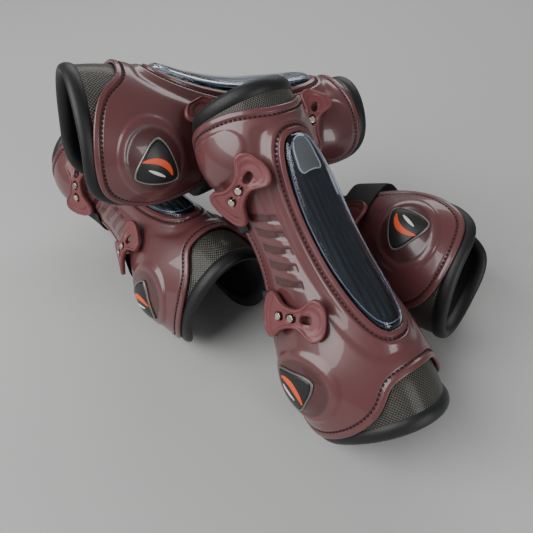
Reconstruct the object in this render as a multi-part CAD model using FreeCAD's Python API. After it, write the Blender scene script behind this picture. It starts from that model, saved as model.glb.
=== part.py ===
import FreeCAD, Part
import math
import os
from FreeCAD import Placement, Rotation, Vector

# A set of four horse tendon boots, two left and two right, lying in a loose heap.
# Every boot is the same design: a moulded outer shell, open at the front of the leg, with a
# clear blister over a ribbed core at the back, a neoprene lining with rolled ends, two woven
# trims, a side badge, and two elastic straps that end in bow-tie toggles. Each toggle hooks
# over two metal studs.
# One boot is modelled in its own frame, in millimetres: +Z runs up the leg from the lower
# roll, -Y is the back of the leg (the tendon) and -X is the outer side of a left boot.
# A place on the skin is (angle, height): the angle is in degrees round the leg, 0 at the back
# and positive towards the outer side. A level is a distance out from the shell's outer face.

# ---------------------------------------------------------------- driving sizes
BOOT_HEIGHT = 250.0
# Heights up the leg are written for a boot this tall, and move in step with BOOT_HEIGHT
DRAWN_HEIGHT = 250.0
STRETCH = BOOT_HEIGHT / DRAWN_HEIGHT
WAIST_HALF_WIDTH = 32.0
WAIST_HALF_DEPTH = 43.0
FETLOCK_EXTRA_WIDTH = 12.0
FETLOCK_EXTRA_DEPTH = 17.0
FETLOCK_SET_BACK = 6.4
TOP_EXTRA_WIDTH = 6.0
LOWER_CUP_DEPTH = 11.0
UPPER_CUP_DEPTH = 9.0
CUP_ANGLE = 98.0
CUP_SPREAD = 40.0
LOWER_CUP_HEIGHT = 48.0 * STRETCH
LOWER_CUP_SPAN = 42.0 * STRETCH
UPPER_CUP_HEIGHT = 212.0 * STRETCH
UPPER_CUP_SPAN = 34.0 * STRETCH

SHELL_WALL = 2.4
LINING_THICKNESS = 4.2
TRIM_THICKNESS = 0.9
LAYER_GAP = 0.35
ROLL_RADIUS = 3.4
# How far a roll turns up the front edges, and how far its end counts as level
ROLL_REACH = 40.0 * STRETCH
LEVEL_END = 10.0

WINDOW_BOTTOM = 64.0 * STRETCH
WINDOW_TOP = 208.0 * STRETCH
WINDOW_HALF_WIDTH = 17.0
WINDOW_WALL = 1.8
WINDOW_RISE = 5.5
WINDOW_LIP = 0.8
WINDOW_FIT_GAP = 0.45
CORE_INSET = 2.2
CORE_RISE = 4.0
CORE_DROP = 0.2
RIB_HEIGHT = 0.5
RIB_COUNT = 5

STRAP_WIDTH = 28.0
STRAP_THICKNESS = 1.8
STRAP_LEVEL = 0.6
STRAP_BOW = 14.0
STRAP_START_ANGLE = 97.0
LOWER_STRAP_HEIGHT = 103.0 * STRETCH
UPPER_STRAP_HEIGHT = 175.0 * STRETCH

TOGGLE_LENGTH = 54.0
TOGGLE_THICKNESS = 3.0
TOGGLE_BEND_RADIUS = 62.0
TOGGLE_STRAP_LOBE = 17.0
TOGGLE_FINGER_LOBE = 14.5
TOGGLE_WAIST = 7.0
TOGGLE_LIFT = 5.2
HOLE_LENGTH = 8.6
HOLE_WIDTH = 5.8
HOLE_PITCH = 11.0
FIRST_HOLE = -9.0
THUMB_PAD_RADIUS = 9.5
THUMB_PAD_DEPTH = 0.8
THUMB_PAD_FROM_END = 9.0

STUD_HEAD_RADIUS = 2.6
STUD_NECK_RADIUS = 2.0
NECK_STEP = 0.4
SHANK_RADIUS = 1.7
FLANGE_RADIUS = 3.4
FLANGE = 0.6
FLANGE_GAP = 0.4
STUD_HEAD = 1.4
STUD_PROUD = 1.2
RIVET_HEAD_RADIUS = 4.2
RIVET_HEAD = 1.6
RIVET_SPACING = 14.0
RIVET_ANGLE = 103.0
SHANK_GAP = 0.35

BADGE_THICKNESS = 1.8
BADGE_GAP = 0.4

# Where each toggle sits: (angle, height) of its middle and its tilt in degrees
TOGGLES = {
    "lower": (75.0, 96.0 * STRETCH, -20.0),
    "upper": (74.0, 187.0 * STRETCH, 24.0),
}

# Outlines on the outer side as (angle, height), from the bottom at the back, round the front,
# to the top. The boot's edge is level with the middle of the rolled ends.
SHELL_EDGE = [
    (0, 38), (18, 37), (31, 33.5), (42, 24), (57, 15), (76, 9.5), (97, 8),
    (116, 13), (127, 28), (131, 50), (128, 75), (118, 99), (110, 120),
    (107.5, 141), (110, 162), (117, 181), (124, 202), (123, 221), (113, 233),
    (97, 238), (74, 237.5), (50, 234.5), (28, 230), (12, 227.5), (0, 227),
]
BOOT_EDGE = [
    (0, 3.4), (30, 3.4), (60, 3.4), (85, 3.4), (104, 3.6), (119, 8), (130, 22), (135, 47),
    (133, 76), (123, 100), (114.5, 120), (112, 141), (114.5, 162), (122, 181),
    (129, 202), (129, 223), (121, 238), (106, 245), (88, 246.6), (70, 246.6), (48, 246.6),
    (25, 246.6), (0, 246.6),
]
LOWER_TRIM_EDGE = [(0, 47), (20, 46), (36, 40), (50, 28), (66, 21), (86, 17)]
UPPER_TRIM_EDGE = [(0, 218), (20, 219), (40, 223), (60, 227), (80, 229)]
BADGE_CORNERS = [(104, 65), (75, 52), (102, 31)]
BADGE_CORNER_RADIUS = 6.0
BADGE_SIDE_BOW = 1.2

# The heap: side, centre of the boot's height, and yaw, pitch and roll in degrees
HEAP = {
    "left_a": ("left", (29.0, -115.5, 102.83), (39.3, 5.7, -45.9)),
    "right_a": ("right", (-38.4, 5.2, 136.1), (-60.7, -12.0, -98.2)),
    "left_b": ("left", (-111.5, -8.1, 51.67), (40.8, 4.2, -81.2)),
    "right_b": ("right", (71.2, -12.8, 54.37), (-137.3, -51.3, 101.8)),
}
HEAP_ORIGIN = (-13.5, -60.7)
# The heap is settled for boots this wide and deep at the fetlock and toggles this long
SETTLED_HALF_WIDTH = 55.0
SETTLED_HALF_DEPTH = 60.0
SETTLED_TOGGLE = 54.0


# ---------------------------------------------------------------- the skin of a boot
def smooth(t):
    """Rises from 0 to 1 with level ends."""
    t = min(max(t, 0.0), 1.0)
    return t * t * (3 - 2 * t)


def half_width(z):
    flare = FETLOCK_EXTRA_WIDTH * smooth((0.6 * BOOT_HEIGHT - z) / (0.42 * BOOT_HEIGHT))
    return WAIST_HALF_WIDTH + flare + TOP_EXTRA_WIDTH * smooth((z / BOOT_HEIGHT - 0.64) / 0.32)


def half_depth(z):
    flare = FETLOCK_EXTRA_DEPTH * smooth((0.6 * BOOT_HEIGHT - z) / (0.52 * BOOT_HEIGHT))
    return WAIST_HALF_DEPTH + flare


def middle_y(z):
    return -FETLOCK_SET_BACK * smooth((0.48 - z / BOOT_HEIGHT) / 0.44)


def cups(angle, z):
    """How far the side cups over the fetlock and under the knee stand out."""
    across = (abs(angle) - CUP_ANGLE) / CUP_SPREAD
    lower = (z - LOWER_CUP_HEIGHT) / LOWER_CUP_SPAN
    upper = (z - UPPER_CUP_HEIGHT) / UPPER_CUP_SPAN
    low = LOWER_CUP_DEPTH * math.exp(-1.4 * (across**2 + lower**2))
    return low + UPPER_CUP_DEPTH * math.exp(-1.4 * (across**2 + upper**2))


def skin(angle, z, level=0.0):
    """The point at that angle and height, that far out from the shell's outer face."""
    reach = level + cups(angle, z)
    t = math.radians(angle)
    x = -(half_width(z) + reach) * math.sin(t)
    y = middle_y(z) - (half_depth(z) + reach) * math.cos(t)
    return Vector(x, y, z)


def skin_frame(angle, z, level=0.0):
    """Point, unit vector towards the back round the leg, unit vector up, outward normal."""
    here = skin(angle, z, level)
    round_leg = (skin(angle - 0.5, z, level) - skin(angle + 0.5, z, level)).normalize()
    up = (skin(angle, z + 0.5, level) - skin(angle, z - 0.5, level)).normalize()
    normal = round_leg.cross(up).normalize()
    if normal.dot(here - Vector(0, middle_y(z), z)) < 0:
        normal = -normal
    return here, round_leg, normal.cross(round_leg).normalize(), normal


def mm_per_degree(angle, z, level=0.0):
    return (skin(angle + 0.5, z, level) - skin(angle - 0.5, z, level)).Length


# ---------------------------------------------------------------- outlines on the skin
def full_outline(half):
    """A closed outline from its outer half: the inner half mirrors it."""
    inner = [(-angle, z) for angle, z in reversed(half[1:-1])]
    return list(half) + inner


def along(points, count, closed=True):
    """count places evenly along a smooth curve through the points."""
    curve = Part.BSplineCurve()
    flat = [Vector(p[0], p[1], 0) for p in points]
    curve.interpolate(Points=flat, PeriodicFlag=closed)
    number = count + 1 if closed else count
    found = curve.toShape().discretize(Number=number)
    return [(p.x, p.y) for p in found[:count]]


def inset(points, distance, level=0.0):
    """A closed outline moved inwards by a distance in millimetres at that level."""
    moved = []
    for i, (angle, z) in enumerate(points):
        before = points[i - 1]
        after = points[(i + 1) % len(points)]
        scale = mm_per_degree(angle, z, level)
        run = Vector((after[0] - before[0]) * scale, after[1] - before[1], 0).normalize()
        moved.append((angle - run.y * distance / scale, z + run.x * distance))
    return moved


def shell_edge():
    return [(angle, z * STRETCH) for angle, z in SHELL_EDGE]


def boot_edge():
    """The line that the rolled ends follow, one roll radius inside the boot's two ends."""
    top = BOOT_HEIGHT - ROLL_RADIUS
    return [(angle, min(max(z * STRETCH, ROLL_RADIUS), top)) for angle, z in BOOT_EDGE]


def window_half():
    """The outer half of the window's outline, from its lower end to its upper end."""
    steps = 14
    middle = (WINDOW_BOTTOM + WINDOW_TOP) / 2
    half_length = (WINDOW_TOP - WINDOW_BOTTOM) / 2
    places = []
    for i in range(steps + 1):
        t = math.pi * i / steps
        z = middle - half_length * math.copysign(abs(math.cos(t)) ** 0.62, math.cos(t))
        wide = WINDOW_HALF_WIDTH * math.sin(t) ** 0.62
        places.append((math.degrees(math.asin(wide / half_width(z))), z))
    return places


def badge_outline():
    """The badge's rounded triangle, with each corner turned about its own arc."""
    middle_angle = sum(p[0] for p in BADGE_CORNERS) / 3
    drawn_z = sum(p[1] for p in BADGE_CORNERS) / 3
    middle_z = drawn_z * STRETCH
    scale = mm_per_degree(middle_angle, middle_z)
    corners = [Vector((a - middle_angle) * scale, z - drawn_z, 0) for a, z in BADGE_CORNERS]
    places = []
    for i, corner in enumerate(corners):
        following = corners[(i + 1) % 3]
        before = (corners[i - 1] - corner).normalize()
        after = (following - corner).normalize()
        half_turn = before.getAngle(after) / 2
        back = BADGE_CORNER_RADIUS / math.tan(half_turn)
        inward = (before + after).normalize()
        middle = corner + inward * BADGE_CORNER_RADIUS * (1 / math.sin(half_turn) - 1)
        places += [corner + before * back, middle, corner + after * back]
        side = (corner + following) / 2
        outward = Vector(side).normalize()
        places.append(side + outward * BADGE_SIDE_BOW)
    return [(middle_angle + p.x / scale, middle_z + p.y) for p in places]


# ---------------------------------------------------------------- solids from the skin
def surface(grid):
    patch = Part.BSplineSurface()
    patch.interpolate(grid)
    return patch


def solid_of(faces, name):
    shell = Part.makeShell(faces)
    shell.sewShape()
    body = Part.makeSolid(Part.Shell(shell.Faces))
    if body.Volume < 0:
        body.reverse()
    if not body.isValid() or body.Volume <= 0:
        raise ValueError(name + " is not a sound solid")
    return body


def walls(outer, inner, sides):
    """Ruled walls that join two patches along the named sides."""
    made = []
    for side in sides:
        edges = []
        for patch in (outer, inner):
            u0, u1, v0, v1 = patch.bounds()
            cut = {
                "first": patch.uIso(u0),
                "last": patch.uIso(u1),
                "start": patch.vIso(v0),
                "end": patch.vIso(v1),
            }[side]
            edges.append(cut.toShape())
        made.append(Part.makeRuledSurface(edges[0], edges[1]))
    return made


def ring_solid(hole, edge, level_out, level_in, name, rows=10):
    """A wall between a hole's half outline and an edge's half outline, and its mirror half."""
    faces = []
    for side in (1, -1):
        patches = []
        for level in (level_out, level_in):
            grid = []
            for j in range(rows):
                share = j / (rows - 1)
                row = []
                for (a0, z0), (a1, z1) in zip(hole, edge):
                    angle = a0 + (a1 - a0) * share
                    z = z0 + (z1 - z0) * share
                    row.append(skin(side * angle, z, level(share)))
                grid.append(row)
            patches.append(surface(grid))
        faces += [p.toShape() for p in patches]
        faces += walls(patches[0], patches[1], ("first", "last"))
    return solid_of(faces, name)


def patch_places(bottom, right, top, left):
    """Fills the space between four edge curves: rows run up, columns run across."""
    rows = len(left)
    columns = len(bottom)
    grid = []
    for j in range(rows):
        v = j / (rows - 1)
        row = []
        for i in range(columns):
            u = i / (columns - 1)
            place = []
            for k in (0, 1):
                sides = (1 - v) * bottom[i][k] + v * top[i][k]
                sides += (1 - u) * left[j][k] + u * right[j][k]
                low = (1 - u) * bottom[0][k] + u * bottom[-1][k]
                high = (1 - u) * top[0][k] + u * top[-1][k]
                place.append(sides - (1 - v) * low - v * high)
            row.append((place[0], place[1], 2 * u - 1, 2 * v - 1))
        grid.append(row)
    return grid


def quarter(points, corners, columns, rows):
    """Cuts a closed outline at four of its points into the edges of a patch."""
    first, second, third, fourth = corners
    ring = list(points) + list(points)
    pieces = []
    total = len(points)
    for start, stop in ((first, second), (second, third), (third, fourth), (fourth, first)):
        if stop <= start:
            stop += total
        pieces.append(ring[start:stop + 1])
    counts = (columns, rows, columns, rows)
    edges = [along(piece, count, closed=False) for piece, count in zip(pieces, counts)]
    return edges[0], edges[1], edges[2][::-1], edges[3][::-1]


def patch_solid(places, level_out, level_in, name):
    """A closed layer over the places, between two levels given by (u, v)."""
    patches = []
    for level in (level_out, level_in):
        grid = [[skin(a, z, level(u, v)) for a, z, u, v in row] for row in places]
        patches.append(surface(grid))
    faces = [p.toShape() for p in patches]
    faces += walls(patches[0], patches[1], ("first", "last", "start", "end"))
    return solid_of(faces, name)


def constant(level):
    return lambda *_: level


# ---------------------------------------------------------------- shell, lining and trims
TRIM_OUT = -SHELL_WALL - 2 * LAYER_GAP
LINING_OUT = TRIM_OUT - TRIM_THICKNESS - LAYER_GAP
LINING_IN = LINING_OUT - LINING_THICKNESS
SAMPLES = 44


def shell_blank():
    hole = along(window_half(), SAMPLES, closed=False)
    edge = along(shell_edge(), SAMPLES, closed=False)
    return ring_solid(hole, edge, constant(0.0), constant(-SHELL_WALL), "shell")


def lining():
    edge = inset(along(full_outline(boot_edge()), 96), ROLL_RADIUS + 4 * LAYER_GAP, LINING_IN)
    top = max(range(len(edge)), key=lambda i: edge[i][1] + 0.25 * edge[i][0])
    low = min(range(len(edge)), key=lambda i: edge[i][1] - 0.25 * edge[i][0])
    corners = (len(edge) - low, low, top, len(edge) - top)
    places = patch_places(*quarter(edge, corners, 41, 25))
    return patch_solid(places, constant(LINING_OUT), constant(LINING_IN), "lining")


def order_round(place, height):
    """Sorts by angle along the level end, and by height up the two front edges."""
    angle, z = place
    rise = abs(z - height)
    if rise < LEVEL_END:
        return angle
    return math.copysign(200 + rise, angle)


def roll(height):
    """The rolled end of the lining: a round section carried along the boot's edge."""
    ring = along(full_outline(boot_edge()), 160)
    kept = [p for p in ring if abs(p[1] - height) < ROLL_REACH]
    kept.sort(key=lambda p: order_round(p, height))
    line = [skin(a, z, (LINING_OUT + LINING_IN) / 2) for a, z in kept[::3]]
    sections = []
    for i, point in enumerate(line):
        before = line[max(i - 1, 0)]
        after = line[min(i + 1, len(line) - 1)]
        sections.append(Part.Wire(Part.makeCircle(ROLL_RADIUS, point, after - before)))
    return Part.makeLoft(sections, True, False)


def trim(tucked_edge, roll_height):
    """A woven band behind the shell's edge, from the roll to a little way under the shell."""
    half = along([(a, z * STRETCH) for a, z in tucked_edge], 15, closed=False)
    tucked = [(-a, z) for a, z in half[::-1]] + half[1:]
    hem = [(a, roll_height) for a, _ in tucked]
    bottom, top = (hem, tucked) if roll_height < BOOT_HEIGHT / 2 else (tucked, hem)
    rows = 7
    low = bottom[0][1]
    rise = top[0][1] - low
    left = [(bottom[0][0], low + rise * j / (rows - 1)) for j in range(rows)]
    right = [(-a, z) for a, z in left]
    places = patch_places(bottom, right, top, left)
    return patch_solid(places, constant(TRIM_OUT), constant(TRIM_OUT - TRIM_THICKNESS), "trim")


# ---------------------------------------------------------------- window and core
def window_places(gap):
    ring = inset(along(full_outline(window_half()), 64), gap)
    return patch_places(*quarter(ring, (61, 3, 29, 35), 11, 21))


def blister(rise, base):
    return lambda u, v: base + rise * (1 - u**4) * (1 - v**6)


def window():
    places = window_places(WINDOW_FIT_GAP)
    outer = blister(WINDOW_RISE, WINDOW_LIP)
    inner = blister(WINDOW_RISE, WINDOW_LIP - WINDOW_WALL)
    return patch_solid(places, outer, inner, "window")


def core():
    """The ribbed absorber under the window: its ribs run up the leg."""
    ring = inset(along(full_outline(window_half()), 64), CORE_INSET)
    places = patch_places(*quarter(ring, (61, 3, 29, 35), 8 * RIB_COUNT + 1, 15))
    crown = blister(CORE_RISE, WINDOW_LIP - WINDOW_WALL - CORE_DROP)

    def ribbed(u, v):
        wave = math.cos(RIB_COUNT * math.pi * (u + 1)) * (1 - u**4) * (1 - v**6)
        return crown(u, v) - RIB_HEIGHT * wave

    return patch_solid(places, ribbed, constant(LINING_OUT + LAYER_GAP), "core")


def badge():
    ring = along(badge_outline(), 60)
    places = patch_places(*quarter(ring, (5, 20, 35, 50), 9, 9))
    return patch_solid(places, constant(BADGE_GAP + BADGE_THICKNESS), constant(BADGE_GAP), "badge")


# ---------------------------------------------------------------- toggles and studs
def toggle_placement(angle, z, tilt):
    """Carries the toggle's flat frame, +X to its finger lobe and +Z outwards, onto the skin."""
    here, back, up, normal = skin_frame(angle, z, TOGGLE_LIFT)
    t = math.radians(tilt)
    along_toggle = back * math.cos(t) + up * math.sin(t)
    across = normal.cross(along_toggle)
    return Placement(here, Rotation(along_toggle, across, normal, "ZXY"))


def bow_tie():
    """The toggle's outline in its flat frame: two lobes joined by a waist."""
    start = -TOGGLE_LENGTH / 2
    end = TOGGLE_LENGTH / 2
    half = [
        (start, 0), (start + 1.6, 0.55 * TOGGLE_STRAP_LOBE), (start + 7, 0.95 * TOGGLE_STRAP_LOBE),
        (start + 13, 0.88 * TOGGLE_STRAP_LOBE), (start + 19, 0.6 * TOGGLE_STRAP_LOBE),
        (start + 27, TOGGLE_WAIST), (end - 20, TOGGLE_WAIST), (end - 14, 0.75 * TOGGLE_FINGER_LOBE),
        (end - 8, TOGGLE_FINGER_LOBE), (end - 3, 0.8 * TOGGLE_FINGER_LOBE), (end, 0),
    ]
    points = [Vector(x, y, 0) for x, y in half]
    points += [Vector(x, -y, 0) for x, y in reversed(half[1:-1])]
    curve = Part.BSplineCurve()
    curve.interpolate(Points=points, PeriodicFlag=True)
    return Part.Face(Part.Wire(curve.toShape()))


def slot_prism(x, length, width):
    """An upright oblong bar, through which a hole or a recess is cut."""
    radius = width / 2
    run = length / 2 - radius
    signs = ((-1, -1), (1, -1), (1, 1), (-1, 1))
    corners = [Vector(i * run, j * radius, 0) for i, j in signs]
    edges = [
        Part.LineSegment(corners[0], corners[1]).toShape(),
        Part.Arc(corners[1], Vector(length / 2, 0, 0), corners[2]).toShape(),
        Part.LineSegment(corners[2], corners[3]).toShape(),
        Part.Arc(corners[3], Vector(-length / 2, 0, 0), corners[0]).toShape(),
    ]
    face = Part.Face(Part.Wire(edges))
    face.translate(Vector(x, 0, -40))
    return face.extrude(Vector(0, 0, 80))


def bent_sheet(low, high):
    """The space between two bend radii, centred under the toggle's middle."""
    centre = Vector(0, -60, -TOGGLE_BEND_RADIUS)
    outer = Part.makeCylinder(TOGGLE_BEND_RADIUS + high, 120, centre, Vector(0, 1, 0))
    return outer.cut(Part.makeCylinder(TOGGLE_BEND_RADIUS + low, 120, centre, Vector(0, 1, 0)))


def hole_places():
    return [FIRST_HOLE + HOLE_PITCH * i for i in range(3)]


def toggle():
    """One moulded toggle in its flat frame."""
    blank = bow_tie()
    blank.translate(Vector(0, 0, -30))
    plate = blank.extrude(Vector(0, 0, 60)).common(bent_sheet(0, TOGGLE_THICKNESS))
    for x in hole_places():
        plate = plate.cut(slot_prism(x, HOLE_LENGTH, HOLE_WIDTH))
    sunk = bent_sheet(TOGGLE_THICKNESS - THUMB_PAD_DEPTH, TOGGLE_THICKNESS + 20)
    pad_middle = Vector(TOGGLE_LENGTH / 2 - THUMB_PAD_FROM_END, 0, -30)
    pad = Part.Face(Part.Wire(Part.makeCircle(THUMB_PAD_RADIUS, pad_middle)))
    plate = plate.cut(pad.extrude(Vector(0, 0, 60)).common(sunk))
    return max(plate.Solids, key=lambda s: s.Volume)


def bent_frame(x):
    """Where a stud's axis crosses the toggle's under face, in the flat frame."""
    t = x / TOGGLE_BEND_RADIUS
    normal = Vector(math.sin(t), 0, math.cos(t))
    return Vector(0, 0, -TOGGLE_BEND_RADIUS) + normal * TOGGLE_BEND_RADIUS, normal


def place_under(point):
    """The angle and height of the skin that a point stands over."""
    x = -point.x / half_width(point.z)
    y = -(point.y - middle_y(point.z)) / half_depth(point.z)
    return math.degrees(math.atan2(x, y)), point.z


def stands_clear(point):
    """Whether a point is outside the shell's outer face."""
    reach = cups(*place_under(point))
    across = point.x / (half_width(point.z) + reach)
    deep = (point.y - middle_y(point.z)) / (half_depth(point.z) + reach)
    return across**2 + deep**2 > 1


def depth_to_skin(point, inward):
    """How far in the shell's outer face lies, found by halving."""
    near = 0.0
    far = TOGGLE_BEND_RADIUS / 2
    while far - near > 0.001:
        middle = (near + far) / 2
        if stands_clear(point + inward * middle):
            near = middle
        else:
            far = middle
    return far


def rivet(foot, outward, head_radius, head, proud):
    """A rivet: neck and head outside, and a shank with a flange behind the shell."""
    normal = skin_frame(*place_under(foot))[3]
    neck = Part.makeCylinder(STUD_NECK_RADIUS, proud - NECK_STEP, foot + outward * NECK_STEP, outward)
    cap = Part.makeCylinder(head_radius, head, foot + outward * proud, outward)
    cap = cap.makeFillet(0.35 * head, [cap.Edges[0]])
    behind = SHELL_WALL + FLANGE_GAP
    shank_length = behind + FLANGE / 2 + 2 * NECK_STEP
    shank = Part.makeCylinder(SHANK_RADIUS, shank_length, foot + normal * 2 * NECK_STEP, -normal)
    flange = Part.makeCylinder(FLANGE_RADIUS, FLANGE, foot - normal * behind, -normal)
    return neck.fuse([cap, shank, flange]).removeSplitter()


def stud_axes():
    """Foot on the shell, outward direction and height of each stud that a toggle hooks over."""
    found = []
    for angle, z, tilt in TOGGLES.values():
        placement = toggle_placement(angle, z, tilt)
        for x in hole_places()[:2]:
            under, normal = bent_frame(x)
            point = placement.multVec(under)
            outward = placement.Rotation.multVec(normal)
            depth = depth_to_skin(point, -outward)
            found.append((point - outward * depth, outward, depth))
    return found


def studs():
    made = []
    for foot, outward, depth in stud_axes():
        proud = depth + TOGGLE_THICKNESS + STUD_PROUD - STUD_HEAD
        made.append(rivet(foot, outward, STUD_HEAD_RADIUS, STUD_HEAD, proud))
    return made


# ---------------------------------------------------------------- straps
def front_angle(z):
    """The angle of the shell's front edge at a height, from its outline."""
    front = [p for p in shell_edge() if p[0] > 100]
    for (a0, z0), (a1, z1) in zip(front, front[1:]):
        if z0 <= z <= z1:
            return a0 + (a1 - a0) * (z - z0) / (z1 - z0)
    return CUP_ANGLE


def strap_point(angle, z, level):
    """On the skin as far as the shell's front edge, and drawn flat across the opening."""
    here = skin(angle if angle <= 180 else angle - 360, z, level)
    edge = skin(front_angle(z) + 6, z, level).y
    if here.y > edge:
        here.y = edge + STRAP_BOW * math.tanh((here.y - edge) / STRAP_BOW)
    return here


def strap(height, rivet_feet):
    """An elastic band from under the toggle, across the open front, to its rivets."""
    stations = 33
    rows = 7
    patches = []
    for level in (STRAP_LEVEL + STRAP_THICKNESS, STRAP_LEVEL):
        grid = []
        for j in range(rows):
            z = height + STRAP_WIDTH * (j / (rows - 1) - 0.5)
            row = []
            for i in range(stations):
                angle = STRAP_START_ANGLE + (360 - 2 * STRAP_START_ANGLE) * i / (stations - 1)
                row.append(strap_point(angle, z, level))
            grid.append(row)
        patches.append(surface(grid))
    faces = [p.toShape() for p in patches]
    faces += walls(patches[0], patches[1], ("first", "last", "start", "end"))
    band = solid_of(faces, "strap")
    for foot, outward in rivet_feet:
        band = band.cut(Part.makeCylinder(STUD_NECK_RADIUS + SHANK_GAP, 12, foot - outward * 3, outward))
    return band


def rivet_axes(height):
    found = []
    for side in (-0.5, 0.5):
        z = height + side * RIVET_SPACING
        foot, _, _, outward = skin_frame(-RIVET_ANGLE, z)
        found.append((foot, outward))
    return found


def strap_rivets():
    proud = STRAP_LEVEL + STRAP_THICKNESS + LAYER_GAP
    made = []
    for height in (LOWER_STRAP_HEIGHT, UPPER_STRAP_HEIGHT):
        for foot, outward in rivet_axes(height):
            made.append(rivet(foot, outward, RIVET_HEAD_RADIUS, RIVET_HEAD, proud))
    return made


def shell():
    """The moulded shell, drilled for the studs and the strap rivets."""
    body = shell_blank()
    drills = [(foot, outward) for foot, outward, _ in stud_axes()]
    drills += rivet_axes(LOWER_STRAP_HEIGHT) + rivet_axes(UPPER_STRAP_HEIGHT)
    for foot, outward in drills:
        normal = skin_frame(*place_under(foot))[3]
        drill = Part.makeCylinder(SHANK_RADIUS + SHANK_GAP, 12, foot - normal * 6, normal)
        body = body.cut(drill)
    return body


# ---------------------------------------------------------------- one boot
def left_boot():
    """Every piece of a left boot, in the boot's own frame."""
    plate = toggle()
    pieces = {
        "shell": shell(),
        "lining": lining(),
        "lower_roll": roll(ROLL_RADIUS),
        "upper_roll": roll(BOOT_HEIGHT - ROLL_RADIUS),
        "lower_trim": trim(LOWER_TRIM_EDGE, 2 * ROLL_RADIUS + LAYER_GAP),
        "upper_trim": trim(UPPER_TRIM_EDGE, BOOT_HEIGHT - 2 * ROLL_RADIUS - LAYER_GAP),
        "window": window(),
        "core": core(),
        "badge": badge(),
        "studs": Part.makeCompound(studs()),
        "strap_rivets": Part.makeCompound(strap_rivets()),
        "lower_strap": strap(LOWER_STRAP_HEIGHT, rivet_axes(LOWER_STRAP_HEIGHT)),
        "upper_strap": strap(UPPER_STRAP_HEIGHT, rivet_axes(UPPER_STRAP_HEIGHT)),
    }
    for name, (angle, z, tilt) in TOGGLES.items():
        placed = plate.copy()
        placed.Placement = toggle_placement(angle, z, tilt)
        pieces[name + "_toggle"] = placed
    return pieces


def heap_spread():
    """How many times further apart the boots lie than the heap was settled for."""
    return max(
        STRETCH,
        (WAIST_HALF_WIDTH + FETLOCK_EXTRA_WIDTH + LOWER_CUP_DEPTH) / SETTLED_HALF_WIDTH,
        (WAIST_HALF_DEPTH + FETLOCK_EXTRA_DEPTH) / SETTLED_HALF_DEPTH,
        TOGGLE_LENGTH / SETTLED_TOGGLE,
    )


def heap_placement(centre, turns):
    """Puts the middle of a boot's height at the centre, turned by yaw, pitch and roll."""
    rotation = Rotation(*turns)
    x, y, z = centre
    target = Vector(x - HEAP_ORIGIN[0], y - HEAP_ORIGIN[1], z) * heap_spread()
    return Placement(target - rotation.multVec(Vector(0, 0, BOOT_HEIGHT / 2)), rotation)


def main():
    os.makedirs("parts", exist_ok=True)
    left = left_boot()
    for boot, (side, centre, turns) in HEAP.items():
        placement = heap_placement(centre, turns)
        for name, shape in left.items():
            piece = shape.copy()
            if side == "right":
                piece = piece.mirror(Vector(0, 0, 0), Vector(1, 0, 0))
            piece.Placement = placement.multiply(piece.Placement)
            piece.exportStep("parts/" + boot + "_" + name + ".step")


main()
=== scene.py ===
import bmesh
import bpy
import numpy as np
from mathutils import Euler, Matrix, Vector


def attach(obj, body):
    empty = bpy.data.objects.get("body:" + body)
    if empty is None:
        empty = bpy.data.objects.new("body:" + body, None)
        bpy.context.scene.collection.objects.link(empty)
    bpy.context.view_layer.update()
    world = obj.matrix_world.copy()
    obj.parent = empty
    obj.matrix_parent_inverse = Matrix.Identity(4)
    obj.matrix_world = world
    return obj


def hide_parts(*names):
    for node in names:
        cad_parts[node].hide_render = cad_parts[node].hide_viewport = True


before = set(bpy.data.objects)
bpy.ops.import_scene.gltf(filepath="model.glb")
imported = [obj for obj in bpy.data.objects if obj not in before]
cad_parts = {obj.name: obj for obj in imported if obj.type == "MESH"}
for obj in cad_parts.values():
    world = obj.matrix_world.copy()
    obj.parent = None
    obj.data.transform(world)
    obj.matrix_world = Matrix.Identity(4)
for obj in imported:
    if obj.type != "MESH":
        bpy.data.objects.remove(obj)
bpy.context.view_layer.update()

# ------------------------------------------------------------ the skin of a boot
# Every boot is pressed over the same last, and so are its trims, lining and window. Places on
# that last are (degrees round the leg from the back, millimetres up it), and a level is a
# distance out from the shell's face. The four boots of the heap lie at the places below.
BOOT_HEIGHT = 250.0
HEAP_ORIGIN = np.array([-13.5, -60.7, 0.0])
HEAP = {
    "left_a": (1, (29.0, -115.5, 102.83), (39.3, 5.7, -45.9)),
    "right_a": (-1, (-38.4, 5.2, 136.1), (-60.7, -12.0, -98.2)),
    "left_b": (1, (-111.5, -8.1, 51.67), (40.8, 4.2, -81.2)),
    "right_b": (-1, (71.2, -12.8, 54.37), (-137.3, -51.3, 101.8)),
}
SHELL_EDGE = [
    (0, 38), (18, 37), (31, 33.5), (42, 24), (57, 15), (76, 9.5), (97, 8),
    (116, 13), (127, 28), (131, 50), (128, 75), (118, 99), (110, 120),
    (107.5, 141), (110, 162), (117, 181), (124, 202), (123, 221), (113, 233),
    (97, 238), (74, 237.5), (50, 234.5), (28, 230), (12, 227.5), (0, 227),
]
BOOT_EDGE = [
    (0, 3.4), (30, 3.4), (60, 3.4), (85, 3.4), (104, 3.6), (119, 8), (130, 22), (135, 47),
    (133, 76), (123, 100), (114.5, 120), (112, 141), (114.5, 162), (122, 181),
    (129, 202), (129, 223), (121, 238), (106, 245), (88, 246.6), (70, 246.6), (48, 246.6),
    (25, 246.6), (0, 246.6),
]


def smooth(t):
    """3 t^2 - 2 t^3, held at 0 and 1."""
    t = np.clip(t, 0, 1)
    return t * t * (3 - 2 * t)


def bump(x, width):
    """exp(-(x / width)^2)."""
    return np.exp(-((x / width) ** 2))


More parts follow.
